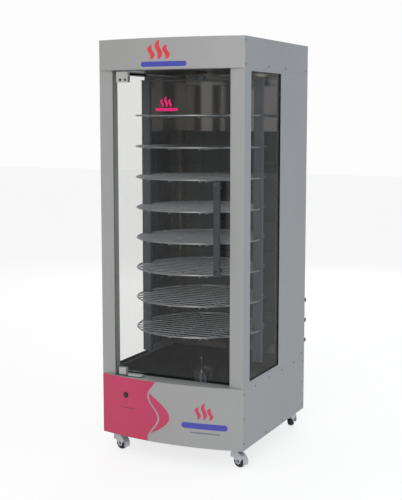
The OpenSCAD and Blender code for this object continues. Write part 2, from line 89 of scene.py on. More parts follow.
def islands(node):
    """(lowest corner, highest corner) of each separate solid in a CAD node."""
    bm = bmesh.new()
    bm.from_mesh(frame["nodes"][node].data)
    bmesh.ops.remove_doubles(bm, verts=bm.verts, dist=0.01 * MM)
    left = set(bm.verts)
    boxes = []
    while left:
        seen = {left.pop()}
        edge = list(seen)
        while edge:
            vert = edge.pop()
            for link in vert.link_edges:
                other = link.other_vert(vert)
                if other not in seen:
                    seen.add(other)
                    edge.append(other)
        left -= seen
        corner = [[f(v.co[i] for v in seen) for i in range(3)] for f in (min, max)]
        boxes.append((Vector(corner[0]), Vector(corner[1])))
    bm.free()
    return sorted(boxes, key=lambda b: tuple(round(c, 4) for c in b[0]))


HALF_W = high("base_front").x
FRONT_Y = low("front_pillars").y
BACK_Y = high("back_panel").y
BOW = FRONT_Y - low("base_front").y
BOW_R = (HALF_W ** 2 + BOW ** 2) / (2 * BOW)
BOW_Y = FRONT_Y - BOW + BOW_R
BASE_Z = low("base_front").z
BASE_TOP = high("base_front").z
HEADER_Z = low("header_front").z
TOP_Z = high("header_front").z
GLASS_FRONT = low("door_glass").y
CASTERS = ("fl", "fr", "rl", "rr")


def bow_point(x, proud=0.0):
    """y of the bowed front at x, measured proud metres in front of its face."""
    r = BOW_R + proud
    return BOW_Y - math.sqrt(r * r - x * x)


def flat_point(x, proud=0.0):
    """The same for the flat outer face of the door glass."""
    return GLASS_FRONT - proud


# ---------------------------------------------------------------- camera and light

CAMERA_AT = (1.887, -3.989, 1.396)
CAMERA_TURN = 25.68
CAMERA_DIP = 7.34
CAMERA_LENS = 74.5
BACKDROP = 0.98

camera = bpy.data.objects.new("camera", bpy.data.cameras.new("camera"))
camera.location = CAMERA_AT
camera.rotation_euler = (math.radians(90 - CAMERA_DIP), 0, math.radians(CAMERA_TURN))
camera.data.lens = CAMERA_LENS
camera.data.sensor_width = 36
camera.data.clip_end = 100
scene.collection.objects.link(camera)
scene.camera = camera
scene.view_settings.view_transform = "Standard"


def studio(dark, bright):
    """White behind the object, and a softer grey room, dark below and bright above, round it."""
    world = bpy.data.worlds.new("studio")
    world.use_nodes = True
    tree = world.node_tree
    backdrop = tree.nodes["Background"]
    backdrop.inputs["Color"].default_value = (1.0, 1.0, 1.0, 1)
    backdrop.inputs["Strength"].default_value = BACKDROP
    room = tree.nodes.new("ShaderNodeBackground")
    room.inputs["Color"].default_value = (0.98, 0.99, 1.0, 1)
    coords = tree.nodes.new("ShaderNodeTexCoord")
    axes = tree.nodes.new("ShaderNodeSeparateXYZ")
    rise = tree.nodes.new("ShaderNodeMapRange")
    rise.interpolation_type = "SMOOTHSTEP"
    rise.inputs["From Min"].default_value = -0.2
    rise.inputs["From Max"].default_value = 0.9
    rise.inputs["To Min"].default_value = dark
    rise.inputs["To Max"].default_value = bright
    path = tree.nodes.new("ShaderNodeLightPath")
    mix = tree.nodes.new("ShaderNodeMixShader")
    link = tree.links.new
    link(coords.outputs["Generated"], axes.inputs["Vector"])
    link(axes.outputs["Z"], rise.inputs["Value"])
    link(rise.outputs["Result"], room.inputs["Strength"])
    link(path.outputs["Is Camera Ray"], mix.inputs["Fac"])
    link(room.outputs["Background"], mix.inputs[1])
    link(backdrop.outputs["Background"], mix.inputs[2])
    link(mix.outputs["Shader"], tree.nodes["World Output"].inputs["Surface"])
    scene.world = world


def soft_light(name, at, aim, size, power, colour):
    data = bpy.data.lights.new(name, "AREA")
    data.shape = "RECTANGLE"
    data.size = size[0]
    data.size_y = size[1]
    data.energy = power
    data.color = colour
    light = bpy.data.objects.new(name, data)
    light.location = at
    light.rotation_euler = (Vector(aim) - Vector(at)).to_track_quat("-Z", "Y").to_euler()
    light.visible_camera = False
    scene.collection.objects.link(light)


studio(0.29, 0.58)
soft_light("key", (0.9, -4.6, 3.2), (0, 0, 1.0), (2.6, 2.6), 76, (1.0, 0.96, 0.885))
soft_light("side", (4.2, -0.6, 2.0), (0, 0, 0.9), (2.2, 3.0), 30, (0.46, 0.66, 1.0))
soft_light("back", (-1.5, 4.5, 2.4), (0, 0, 0.9), (3.0, 3.0), 40, (1.0, 1.0, 1.0))


# ---------------------------------------------------------------- materials

def linear(colour):
    """Linear colour of a screen colour given as three numbers from 0 to 255."""
    def channel(v):
        v /= 255
        return v / 12.92 if v <= 0.04045 else ((v + 0.055) / 1.055) ** 2.4
    return tuple(channel(v) for v in colour) + (1.0,)


def shade(colour, factor):
    return tuple(c * factor for c in colour[:3]) + (1.0,)


class Finish:
    """A Principled material under construction, with short names for its usual nodes."""

    def __init__(self, name, colour, rough, metallic=0.0, specular=0.5):
        self.mat = bpy.data.materials.new(name)
        self.mat.use_nodes = True
        self.tree = self.mat.node_tree
        self.shader = self.tree.nodes["Principled BSDF"]
        self.shader.inputs["Base Color"].default_value = colour
        self.shader.inputs["Roughness"].default_value = rough
        self.shader.inputs["Metallic"].default_value = metallic
        self.shader.inputs["Specular IOR Level"].default_value = specular
        self.coords = self.tree.nodes.new("ShaderNodeTexCoord").outputs["Object"]

    def join(self, source, target):
        self.tree.links.new(source, target)

    def put(self, value, target):
        if isinstance(value, (int, float, tuple)):
            target.default_value = value
        else:
            self.join(value, target)

    def stretched(self, scale):
        node = self.tree.nodes.new("ShaderNodeMapping")
        node.inputs["Scale"].default_value = scale
        self.join(self.coords, node.inputs["Vector"])
        return node.outputs["Vector"]

    def noise(self, scale, detail=3.0, rough=0.5, vector=None):
        node = self.tree.nodes.new("ShaderNodeTexNoise")
        node.inputs["Scale"].default_value = scale
        node.inputs["Detail"].default_value = detail
        node.inputs["Roughness"].default_value = rough
        self.join(vector or self.coords, node.inputs["Vector"])
        return node.outputs["Fac"]

    def spread(self, source, low_in, high_in, low_out, high_out):
        node = self.tree.nodes.new("ShaderNodeMapRange")
        node.inputs["From Min"].default_value = low_in
        node.inputs["From Max"].default_value = high_in
        node.inputs["To Min"].default_value = low_out
        node.inputs["To Max"].default_value = high_out
        self.join(source, node.inputs["Value"])
        return node.outputs["Result"]

    def blend(self, factor, first, second):
        """Colour that goes from first to second as factor goes from 0 to 1."""
        node = self.tree.nodes.new("ShaderNodeMix")
        node.data_type = "RGBA"
        self.join(factor, node.inputs["Factor"])
        self.put(first, node.inputs[6])
        self.put(second, node.inputs[7])
        return node.outputs[2]

    def maths(self, operation, *values):
        node = self.tree.nodes.new("ShaderNodeMath")
        node.operation = operation
        for value, target in zip(values, node.inputs):
            self.put(value, target)
        return node.outputs[0]

    def colour(self, socket):
        self.join(socket, self.shader.inputs["Base Color"])

    def rough(self, socket):
        self.join(socket, self.shader.inputs["Roughness"])

    def bump(self, height, strength, distance):
        node = self.tree.nodes.new("ShaderNodeBump")
        node.inputs["Strength"].default_value = strength
        node.inputs["Distance"].default_value = distance
        self.join(height, node.inputs["Height"])
        self.join(node.outputs["Normal"], self.shader.inputs["Normal"])


def powder_coat(name, colour):
    """Satin powder coat: orange peel, slow patches, and handling marks in a few streaks."""
    f = Finish(name, colour, 0.42, specular=0.4)
    patches = f.noise(2.2, 4.0, 0.6)
    flake = f.noise(1500.0, 1.0)
    tone = f.blend(f.spread(patches, 0.3, 0.7, 0, 1), shade(colour, 0.96), shade(colour, 1.03))
    marks = f.spread(f.noise(5.0, 6.0, 0.7, f.stretched((3.0, 3.0, 0.7))), 0.62, 0.8, 0, 0.35)
    tone = f.blend(marks, tone, shade(colour, 0.86))
    f.colour(f.blend(f.spread(flake, 0.55, 0.8, 0, 0.35), tone, shade(colour, 1.25)))
    f.rough(f.spread(f.noise(9.0, 5.0, 0.6), 0.25, 0.75, 0.34, 0.50))
    f.bump(f.noise(900.0, 2.0), 0.12, 0.0004)
    return f.mat


def brushed(name, colour, rough, along, metallic=1.0, stain=0.82):
    """Brushed sheet: grain drawn out along one axis, under a few slow stains."""
    f = Finish(name, colour, rough, metallic)
    scale = {"x": (2, 260, 260), "y": (260, 2, 260), "z": (260, 260, 2)}[along]
    grain = f.noise(3.0, 4.0, 0.65, f.stretched(scale))
    stains = f.noise(5.0, 4.0, 0.6)
    f.colour(f.blend(f.spread(stains, 0.35, 0.75, 0, 1), colour, shade(colour, stain)))
    f.rough(f.spread(grain, 0.2, 0.8, rough - 0.06, rough + 0.08))
    f.bump(grain, 0.12, 0.0003)
    return f.mat


def heated_steel(name, colour, rough):
    """Polished lining with a faint heat bloom and a few dried splashes."""
    f = Finish(name, colour, rough, 0.85)
    grain = f.noise(3.0, 4.0, 0.65, f.stretched((220, 220, 2)))
    bloom = f.noise(3.0, 5.0, 0.65)
    warm = (colour[0] * 1.05, colour[1] * 0.98, colour[2] * 0.93, 1.0)
    tone = f.blend(f.spread(bloom, 0.35, 0.7, 0, 1), colour, warm)
    drops = f.noise(46.0, 4.0, 0.7, f.stretched((1.0, 1.0, 0.45)))
    splash = f.spread(drops, 0.66, 0.72, 0, 0.6)
    f.colour(f.blend(splash, tone, shade(colour, 0.55)))
    f.rough(f.maths("ADD", f.spread(grain, 0.2, 0.8, rough - 0.04, rough + 0.06),
                    f.maths("MULTIPLY", splash, 0.3)))
    f.bump(grain, 0.08, 0.0003)
    return f.mat


def plated(name, colour, rough, stain, metallic=1.0):
    """Chrome or nickel plate with a thin, uneven film on it."""
    f = Finish(name, colour, rough, metallic)
    film = f.noise(14.0, 5.0, 0.65)
    f.colour(f.blend(f.spread(film, 0.4, 0.75, 0, 1), colour, shade(colour, stain)))
    f.rough(f.spread(film, 0.3, 0.8, rough, rough + 0.16))
    f.bump(f.noise(240.0, 3.0), 0.05, 0.0003)
    return f.mat


def enamel(name, colour, rough, haze):
    """Glossy dark enamel with a greasy haze in slow patches and a slight ripple."""
    f = Finish(name, colour, rough, specular=0.5)
    grease = f.noise(6.0, 6.0, 0.7)
    f.colour(f.blend(f.spread(grease, 0.35, 0.8, 0, 1), colour, shade(colour, 1.5)))
    f.rough(f.spread(grease, 0.3, 0.8, rough, rough + haze))
    f.bump(f.noise(60.0, 2.0), 0.04, 0.0006)
    return f.mat


def moulded(name, colour, rough, grain=1400.0):
    """Moulded plastic or hard rubber with a fine spark-eroded grain."""
    f = Finish(name, colour, rough, specular=0.4)
    patches = f.noise(30.0, 4.0)
    f.colour(f.blend(f.spread(patches, 0.3, 0.7, 0, 1), shade(colour, 0.85), shade(colour, 1.2)))
    f.rough(f.spread(patches, 0.3, 0.7, rough - 0.06, rough + 0.08))
    f.bump(f.noise(grain, 2.0), 0.25, 0.0003)
    return f.mat


def printed_film(name, colour, rough=0.32):
    """Vinyl film: even ink with a faint mottle, and the ripple of the coat below it."""
    f = Finish(name, colour, rough, specular=0.45)
    ink = f.noise(420.0, 2.0)
    fade = f.noise(3.5, 4.0, 0.6)
    tone = f.blend(f.spread(fade, 0.3, 0.7, 0, 1), shade(colour, 0.93), shade(colour, 1.06))
    f.colour(f.blend(f.spread(ink, 0.4, 0.7, 0, 0.25), tone, shade(colour, 1.2)))
    f.rough(f.spread(fade, 0.3, 0.7, rough - 0.05, rough + 0.08))
    f.bump(f.noise(700.0, 2.0), 0.08, 0.0003)
    return f.mat


def pane(name, tint, edge_tint, facing, grazing, across):
    """Clear glass: see-through on its broad faces, with a mirror's share that grows at a
    slant, and a green edge. across is the object axis that the broad faces look along."""
    f = Finish(name, edge_tint, 0.12, specular=0.5)
    tree = f.tree
    clear = tree.nodes.new("ShaderNodeBsdfTransparent")
    clear.inputs["Color"].default_value = tint
    gloss = tree.nodes.new("ShaderNodeBsdfGlossy")
    gloss.inputs["Color"].default_value = (1.0, 1.0, 1.0, 1)
    f.join(f.spread(f.noise(7.0, 5.0), 0.45, 0.8, 0.012, 0.05), gloss.inputs["Roughness"])
    slant = tree.nodes.new("ShaderNodeLayerWeight")
    slant.inputs["Blend"].default_value = 0.5
    share = f.maths("MULTIPLY_ADD", f.maths("POWER", slant.outputs["Facing"], 5.0), grazing, facing)
    broad = tree.nodes.new("ShaderNodeMixShader")
    f.join(share, broad.inputs["Fac"])
    f.join(clear.outputs["BSDF"], broad.inputs[1])
    f.join(gloss.outputs["BSDF"], broad.inputs[2])
    axes = tree.nodes.new("ShaderNodeSeparateXYZ")
    f.join(tree.nodes["Texture Coordinate"].outputs["Normal"], axes.inputs["Vector"])
    flat = f.spread(f.maths("ABSOLUTE", axes.outputs[across]), 0.5, 0.7, 0.55, 0)
    whole = tree.nodes.new("ShaderNodeMixShader")
    f.join(flat, whole.inputs["Fac"])
    f.join(broad.outputs["Shader"], whole.inputs[1])
    f.join(f.shader.outputs["BSDF"], whole.inputs[2])
    f.join(whole.outputs["Shader"], tree.nodes["Material Output"].inputs["Surface"])
    return f.mat


def ceramic(name):
    """Dark fired ceramic with rows of fine burner holes, their insides painted near black as shade,
    and a paler bloom.
    """
    f = Finish(name, linear((54, 57, 60)), 0.55, specular=0.35)
    cells = f.tree.nodes.new("ShaderNodeTexVoronoi")
    cells.inputs["Scale"].default_value = 240.0
    cells.inputs["Randomness"].default_value = 0.0
    f.join(f.coords, cells.inputs["Vector"])
    holes_and_painted_shade = f.spread(cells.outputs["Distance"], 0.2, 0.4, 1, 0)
    bloom = f.spread(f.noise(9.0, 5.0, 0.65), 0.4, 0.75, 0, 1)
    tone = f.blend(bloom, linear((72, 77, 82)), linear((82, 82, 82)))
    # painted shade: the inside of each hole is coloured near black, for the shade that falls in it
    f.colour(f.blend(holes_and_painted_shade, tone, linear((14, 14, 15))))
    f.rough(f.spread(bloom, 0, 1, 0.4, 0.7))
    f.bump(holes_and_painted_shade, 0.6, 0.0008)
    return f.mat


PAINT = powder_coat("grey_powder_coat", linear((160, 161, 161)))
GALVANISED = plated("galvanised", linear((140, 143, 147)), 0.42, 0.8)
LINING = heated_steel("polished_lining", linear((172, 171, 169)), 0.07)
FLOOR_DARK = enamel("drip_tray_enamel", linear((30, 32, 35)), 0.12, 0.16)
CEILING = brushed("ceiling_sheet", linear((120, 120, 118)), 0.35, "x")
BRIGHT = brushed("brushed_steel", linear((176, 178, 180)), 0.28, "z")
TOWER_STEEL = brushed("tower_steel", linear((92, 97, 104)), 0.42, "z", 0.35)
PLATE_STEEL = brushed("plate_steel", linear((140, 142, 144)), 0.34, "x")
CAST_ZINC = powder_coat("cast_zinc", linear((176, 177, 176)))
SHELF = plated("shelf_plating", linear((190, 193, 198)), 0.26, 0.72)
CHROME = plated("caster_chrome", linear((214, 217, 221)), 0.16, 0.85, 0.5)
SCREW = plated("zinc_screw", linear((96, 98, 103)), 0.3, 0.8)
BLACK_METAL = enamel("black_paint", linear((30, 30, 32)), 0.38, 0.15)
RUBBER = moulded("black_rubber", linear((26, 26, 27)), 0.62)
BLACK_PLASTIC = moulded("black_plastic", linear((28, 28, 30)), 0.42)
DARK_PLASTIC = moulded("dark_plastic", linear((60, 63, 66)), 0.44)
BRASS = plated("brass", linear((186, 154, 96)), 0.28, 0.7)
BRONZE = plated("oiled_bronze", linear((96, 80, 58)), 0.4, 0.7)
BURNER = enamel("burner_case", linear((58, 62, 66)), 0.35, 0.2)
TILE = ceramic("burner_tile")
MOTOR = moulded("motor_black", linear((40, 42, 44)), 0.5)
WINDOW_GLASS = pane("window_glass", (0.95, 0.953, 0.95, 1), linear((70, 92, 88)), 0.014, 0.45, "X")
DOOR_GLASS = pane("door_glass", (0.955, 0.955, 0.945, 1), linear((84, 110, 104)), 0.028, 0.45, "Y")
TYRE = moulded("tyre", linear((32, 32, 33)), 0.55, 700.0)
HUB = moulded("wheel_hub", linear((60, 61, 63)), 0.5)
LAMP_GLASS = moulded("lamp_glass", linear((225, 222, 210)), 0.35, 300.0)
FILM_ROSE = printed_film("rose_film", linear((194, 62, 98)))
FILM_ROSE_DIM = printed_film("rose_film_dim", linear((158, 58, 84)))
FILM_RED = printed_film("red_film", linear((218, 66, 72)))
FILM_BLUE = printed_film("blue_film", linear((72, 76, 172)))
FILM_MAGENTA = printed_film("magenta_film", linear((226, 26, 112)))
FILM_GREY = printed_film("grey_film", linear((120, 122, 130)))

FINISHES = {
    "painted_grey": PAINT, "galvanised": GALVANISED, "bright_steel": BRIGHT,
    "dark_enamel": FLOOR_DARK, "black_metal": BLACK_METAL, "shelf_wire": SHELF,
    "window_glass": WINDOW_GLASS, "door_glass": DOOR_GLASS, "chrome": CHROME,
    "black_rubber": RUBBER, "black_plastic": BLACK_PLASTIC, "dark_plastic": DARK_PLASTIC,
    "brass": BRASS, "burner": BURNER, "motor": MOTOR, "lamp": LAMP_GLASS, "tyre": TYRE,
}
OWN_FINISHES = {
    "ceiling_panel": CEILING, "inner_back_wall": LINING, "cavity_lining_left": LINING,
    "cavity_lining_right": LINING, "carousel_uprights": TOWER_STEEL,
    "carousel_head": TOWER_STEEL, "door_pivots": PLATE_STEEL, "door_clamps": CAST_ZINC,
    "drive_bush": BRONZE,
}
SLOTS = {part["node"]: part["material_slot"] for part in frame["record"]["subparts"]}


def dress(node):
    """Gives a CAD node its material."""
    mat = OWN_FINISHES.get(node, FINISHES[SLOTS[node]])
    mesh = frame["nodes"][node].data
    if not mesh.materials:
        mesh.materials.append(mat)
    for i in range(len(mesh.materials)):
        mesh.materials[i] = mat


def soften(node, width):
    """Rounds the sharp edges of a CAD node for show, width metres wide."""
    obj = frame["nodes"][node]
    weld = obj.modifiers.new("weld", "WELD")
    weld.merge_threshold = 0.01 * MM
    faces = obj.modifiers.new("faces", "DECIMATE")
    faces.decimate_type = "DISSOLVE"
    faces.angle_limit = math.radians(0.3)
    bevel = obj.modifiers.new("edges", "BEVEL")
    bevel.width = width
    bevel.segments = 2
    bevel.limit_method = "ANGLE"
    bevel.angle_limit = math.radians(40)
    shading = obj.modifiers.new("shading", "WEIGHTED_NORMAL")
    shading.keep_sharp = False


SOFT_EDGES = {
    "base_front": 0.5, "base_sides": 0.5, "side_panel_left": 0.5, "side_panel_right": 0.5,
    "front_pillars": 0.5, "header_front": 0.5, "roof_cover": 0.5, "back_panel": 0.4,
    "window_gaskets": 0.5, "door_clamps": 0.8, "door_pivots": 0.6, "handle_bar": 3.0,
    "handle_posts": 0.6, "carousel_head": 0.6, "carousel_uprights": 0.5, "spindle_pin": 1.2,
    "drive_bush": 0.8, "caster_plates": 0.5, "power_inlet": 0.6, "gearmotor": 2.0,
    "gas_valves": 0.8, "base_pan": 0.5, "cavity_floor": 0.4, "burner_left": 0.6,
    "burner_rear": 0.6, "burner_right": 0.6,
}
SOFT_EDGES.update({f"caster_fork_{c}": 0.5 for c in CASTERS})
SOFT_EDGES.update({f"brake_pedal_{c}": 0.6 for c in CASTERS[:2]})

for node in frame["nodes"]:
    dress(node)
for node, width in SOFT_EDGES.items():
    soften(node, width * MM)


# ---------------------------------------------------------------- building pieces

def piece(name, bm, mat, rides_with, replaces=(), crease=35):
    """Turns bm into an object that rides with a CAD node's body, and may stand for nodes."""
    bmesh.ops.recalc_face_normals(bm, faces=bm.faces)
    for face in bm.faces:
        face.smooth = True
    for edge in bm.edges:
        edge.smooth = edge.calc_face_angle(0) < math.radians(crease)
    mesh = bpy.data.meshes.new(name)
    bm.to_mesh(mesh)
    bm.free()
    mesh.materials.append(mat)
    obj = bpy.data.objects.new(name, mesh)
    scene.collection.objects.link(obj)
    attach(obj, frame["nodes"][rides_with]["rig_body"])
    if replaces:
        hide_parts(*replaces)


def aimed(at, out):
    """Matrix of a shape drawn along +Z, placed at a point and looking along out."""
    return Matrix.Translation(at) @ Vector(out).to_track_quat("Z", "Y").to_matrix().to_4x4()


def lathe(bm, profile, place, steps=32, reach=None, closed=False):
    """Turned shape. profile is (radius, height) pairs in metres; a zero radius is a pole.
    reach(i, angle) gives what ring i's radius is multiplied by. closed joins last to first."""
    rings = []
    for i, (r, h) in enumerate(profile):
        if r == 0:
            rings.append([bm.verts.new(place @ Vector((0, 0, h)))])
            continue
        ring = []
        for k in range(steps):
            a = 2 * math.pi * k / steps
            q = r * (reach(i, a) if reach else 1)
            ring.append(bm.verts.new(place @ Vector((q * math.cos(a), q * math.sin(a), h))))
        rings.append(ring)
    pairs = list(zip(rings, rings[1:]))
    if closed:
        pairs.append((rings[-1], rings[0]))
    for first, second in pairs:
        for k in range(steps):
            n = (k + 1) % steps
            if len(first) == 1:
                bm.faces.new((first[0], second[k], second[n]))
            elif len(second) == 1:
                bm.faces.new((first[k], first[n], second[0]))
            else:
                bm.faces.new((first[k], first[n], second[n], second[k]))


def rounded_box(bm, lo, hi, radius):
    """Box between two corners with all its edges rounded."""
    made = bmesh.ops.create_cube(bm, size=1)
    size = Vector(hi) - Vector(lo)
    for vert in made["verts"]:
        vert.co = Vector(lo) + Vector([(vert.co[i] + 0.5) * size[i] for i in range(3)])
    edges = list({e for v in made["verts"] for e in v.link_edges})
    bmesh.ops.bevel(bm, geom=edges, offset=radius, segments=2, profile=0.5,
                    affect="EDGES", clamp_overlap=True)


def film(bm, rows, surface, columns, proud=LIFT):
    """Thin closed film on a surface. rows are (z, left x, right x) from the bottom up."""
    sides = []
    for lift in (proud - FILM_T, proud):
        grid = []
        for z, x0, x1 in rows:
            line = []
            for k in range(columns + 1):
                x = x0 + (x1 - x0) * k / columns
                line.append(bm.verts.new((x, surface(x, lift), z)))
            grid.append(line)
        sides.append(grid)
    back, front = sides
    for grid in sides:
        for low_row, high_row in zip(grid, grid[1:]):
            for k in range(columns):
                bm.faces.new((low_row[k], low_row[k + 1], high_row[k + 1], high_row[k]))
    for k in range(columns):
        for r in (0, -1):
            bm.faces.new((back[r][k], back[r][k + 1], front[r][k + 1], front[r][k]))
    for r in range(len(rows) - 1):
        for k in (0, -1):
            bm.faces.new((back[r][k], back[r + 1][k], front[r + 1][k], front[r][k]))


# ---------------------------------------------------------------- screws

def cross_recess(angle):
    """Outline of a cross recess of reach 1, as a radius at an angle."""
    arm = 0.26
    off = abs((angle + math.pi / 4) % (math.pi / 2) - math.pi / 4)
    return min(1 / math.cos(off), arm / max(math.sin(off), 1e-6))


def pan_head(bm, at, out, radius, height):
    """Domed screw head with a cross recess."""
    dome = [(radius * math.cos(t), height * (0.3 + 0.7 * math.sin(t)))
            for t in [math.pi / 2 * k / 6 for k in range(5)]]
    inner = radius * 0.46
    profile = [(0, 0), (radius, 0)] + dome + [
        (inner, height * 0.97), (inner * 0.85, height * 0.25), (0, height * 0.2)]
    recess = len(profile) - 3

    def reach(i, angle):
        return cross_recess(angle) if i >= recess else 1
    lathe(bm, profile, aimed(at, out), 32, reach)


def panel_screws():
    bm = bmesh.new()
    for lo, hi in islands("panel_screws"):
        at = (lo + hi) / 2
        if hi.y > BACK_Y:
            at.y = BACK_Y
            pan_head(bm, at, (0, 1, 0), (hi.x - lo.x) / 2, hi.y - BACK_Y)
        else:
            side = math.copysign(1, at.x)
            proud = max(abs(lo.x), abs(hi.x)) - HALF_W
            at.x = side * HALF_W
            pan_head(bm, at, (side, 0, 0), (hi.y - lo.y) / 2, proud)
    piece("panel_screw_heads", bm, SCREW, "panel_screws", ["panel_screws"])


def door_screws():
    bm = bmesh.new()
    for lo, hi in islands("door_screws"):
        at = (lo + hi) / 2
        at.y = hi.y
        pan_head(bm, at, (0, -1, 0), (hi.x - lo.x) / 2, hi.y - lo.y)
    piece("door_screw_heads", bm, BLACK_METAL, "door_screws", ["door_screws"])


panel_screws()
door_screws()


# ---------------------------------------------------------------- knobs and button

def gas_knob(node):
    """Long control knob: skirt, fluted neck, wing grip and a raised pointer."""
    lo, hi = low(node), high(node)
    r = (hi.z - lo.z) / 2
    length = hi.y - lo.y
    wing = 4 * MM
    skirt, neck, grip = 4 * MM, 4.6 * MM, length - 14 * MM
    profile = [(3.1 * MM, 0), (r - 0.4 * MM, 0), (r, 0.5 * MM), (r, skirt - 0.8 * MM),
               (r - 0.8 * MM, skirt), (r - 1.6 * MM, neck), (r - 2 * MM, neck + 1 * MM),
               (r - 2 * MM, grip - 0.6 * MM), (r - 0.8 * MM, grip), (r, grip + 0.6 * MM),
               (r, length - 1.2 * MM), (r - 0.4 * MM, length - 0.4 * MM),
               (r - 1.2 * MM, length), (0, length)]

    def reach(i, angle):
        if 6 <= i <= 7:
            return 1 + 0.035 * math.cos(12 * angle)
        if 8 <= i:
            return min(1, (wing + 0.3 * MM * (i < 10)) / max(abs(math.sin(angle)), 1e-6) / r)
        return 1
    bm = bmesh.new()
    axis = Vector(((lo.x + hi.x) / 2, lo.y, (lo.z + hi.z) / 2))
    place = Matrix.Translation(axis) @ Matrix.Rotation(-math.pi / 2, 4, "X") @ \
        Matrix.Rotation(math.pi / 2, 4, "Z")
    lathe(bm, profile, place, 72, reach)
    piece(node + "_turned", bm, DARK_PLASTIC, node, [node])
    mark = bmesh.new()
    rounded_box(mark, (axis.x - 0.6 * MM, hi.y - 9 * MM, hi.z - 1.2 * MM),
                (axis.x + 0.6 * MM, hi.y - 1.6 * MM, hi.z + 0.05 * MM), 0.3 * MM)
    piece(node + "_pointer", mark, LAMP_GLASS, node)


for i in (1, 2, 3):
    gas_knob(f"gas_knob_{i}")


def start_button():
    """Domed cap with a dished middle, in a rounded collar, square to the bowed front."""
    x = middle("push_button").x
    z = middle("push_button").z
    turn = math.asin(x / BOW_R)
    out = Vector((math.sin(turn), -math.cos(turn), 0))
    face = Vector((x, bow_point(x), z))
    r = 8 * MM
    bm = bmesh.new()
    lathe(bm, [(0, -9 * MM), (r, -9 * MM), (r, 3.4 * MM), (r - 0.3 * MM, 4.3 * MM),
               (r - 1.1 * MM, 4.85 * MM), (r - 2.2 * MM, 5 * MM), (r - 3.4 * MM, 4.6 * MM),
               (r - 5 * MM, 4.2 * MM), (0, 4 * MM)], aimed(face, out), 48)
    piece("button_cap", bm, DARK_PLASTIC, "push_button", ["push_button"])
    bm = bmesh.new()
    lathe(bm, [(0, -18 * MM), (10 * MM, -18 * MM), (10 * MM, 0.2 * MM), (11.6 * MM, 0.2 * MM),
               (12 * MM, 0.6 * MM), (12 * MM, 1.2 * MM), (11.5 * MM, 1.9 * MM),
               (10.6 * MM, 2.2 * MM), (9.2 * MM, 2.1 * MM), (8.4 * MM, 1.5 * MM),
               (8.1 * MM, 0.6 * MM), (8.1 * MM, -14 * MM), (0, -14 * MM)], aimed(face, out), 48)
    piece("button_collar", bm, BLACK_PLASTIC, "button_bezel", ["button_bezel"])


start_button()


# ---------------------------------------------------------------- casters

def axle_of(node):
    """Middle of a wheel, its axle's direction and half its width along the axle."""
    body = frame["nodes"][node]["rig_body"]
    joint = next(j for j in frame["joints"] if j["child"] == body)
    at, out = Vector(joint["pos_m"]), Vector(joint["axis"]).normalized()
    half = max((v.co - at).dot(out) for v in frame["nodes"][node].data.vertices)
    return at, out, half


def mirrored(points):
    """points, then the same points at minus their height, in the opposite order."""
    return points + [(r, -h) for r, h in reversed(points)]


def caster_wheel(corner):
    """Hard tyre with a rounded tread and two grooves, on a webbed hub."""
    node = f"caster_wheel_{corner}"
    at, out, half = axle_of(node)
    place = aimed(at, out)
    r = (high(node).z - low(node).z) / 2
    half_tyre = half - 1 * MM
    tread = [(r, 0.6 * MM), (r - 0.1 * MM, 2.6 * MM), (r - 0.9 * MM, 2.9 * MM),
             (r - 0.9 * MM, 3.5 * MM), (r - 0.25 * MM, 3.8 * MM), (r - 0.9 * MM, 6.4 * MM),
             (r - 2.2 * MM, 8.6 * MM), (r - 4 * MM, half_tyre), (21.4 * MM, half_tyre),
             (20.9 * MM, half_tyre - 0.5 * MM)]
    bm = bmesh.new()
    lathe(bm, mirrored(list(reversed(tread))), place, 72, closed=True)
    piece(f"tyre_{corner}", bm, TYRE, node, [node])
    web = half - 3.2 * MM
    hub = [(3.1 * MM, half), (9.6 * MM, half), (10.6 * MM, half - 0.5 * MM),
           (11 * MM, half - 1.2 * MM), (11.4 * MM, web), (14.5 * MM, web - 1.2 * MM),
           (18.4 * MM, web - 1.2 * MM), (19.8 * MM, web), (20.3 * MM, half_tyre - 0.4 * MM),
           (20.9 * MM, half_tyre - 0.4 * MM)]
    bm = bmesh.new()
    lathe(bm, mirrored(hub), place, 72, closed=True)
    piece(f"hub_{corner}", bm, HUB, node)


def axle_bolts(corner):
    """Hex head and nut, each on a washer, at the ends of a caster's axle."""
    at, out, half = axle_of(f"caster_wheel_{corner}")
    cheek = half + 4 * MM
    bm = bmesh.new()
    for side in (-1, 1):
        place = aimed(at + out * side * cheek, out * side)
        lathe(bm, [(3.0 * MM, 0), (6.6 * MM, 0), (6.8 * MM, 0.2 * MM), (6.6 * MM, 0.5 * MM),
                   (3.0 * MM, 0.5 * MM)], place, 36, closed=True)
        lathe(bm, [(3.0 * MM, 0.5 * MM), (5.6 * MM, 0.5 * MM), (5.6 * MM, 1.5 * MM),
                   (4.9 * MM, 1.9 * MM), (3.0 * MM, 1.95 * MM)], place, 6, closed=True)
    piece(f"axle_bolts_{corner}", bm, BLACK_METAL, f"caster_fork_{corner}", crease=25)


for corner in CASTERS:
    caster_wheel(corner)
    axle_bolts(corner)


# ---------------------------------------------------------------- inside the cavity

ROWS = 7                    # rows of tiles in a burner
GROOVE = 3 * MM


